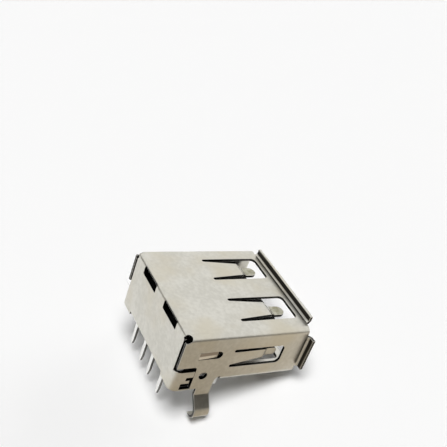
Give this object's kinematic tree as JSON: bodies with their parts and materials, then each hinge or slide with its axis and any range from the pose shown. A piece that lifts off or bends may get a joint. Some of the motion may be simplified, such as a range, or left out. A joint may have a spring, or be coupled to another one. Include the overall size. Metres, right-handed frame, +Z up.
{
  "type": "usb-a socket",
  "caption": "Right-angle board socket: folded plated-steel shell with flanged mouth, spring fingers and splayed legs, white insulator with tongue, and sprung contacts with tails.",
  "frame": {"origin": "on the board's surface, at the middle of the row of contact tails, on the underside of the insulator", "axes": "+Z up from the board, -Y out of the mouth towards the plug, +X across the mouth"},
  "size_m": [0.0152, 0.014, 0.0106],
  "materials": {
    "shell": "satin nickel plating, dark in the cuts",
    "insulator": "matt white moulding",
    "contact": "gold on the mating beam, tin on the tail"
  },
  "bodies": {
    "root": {"shell": "shell", "insulator": "insulator", "contact_1": "contact", "contact_2": "contact", "contact_3": "contact", "contact_4": "contact"}
  },
  "joints": []
}
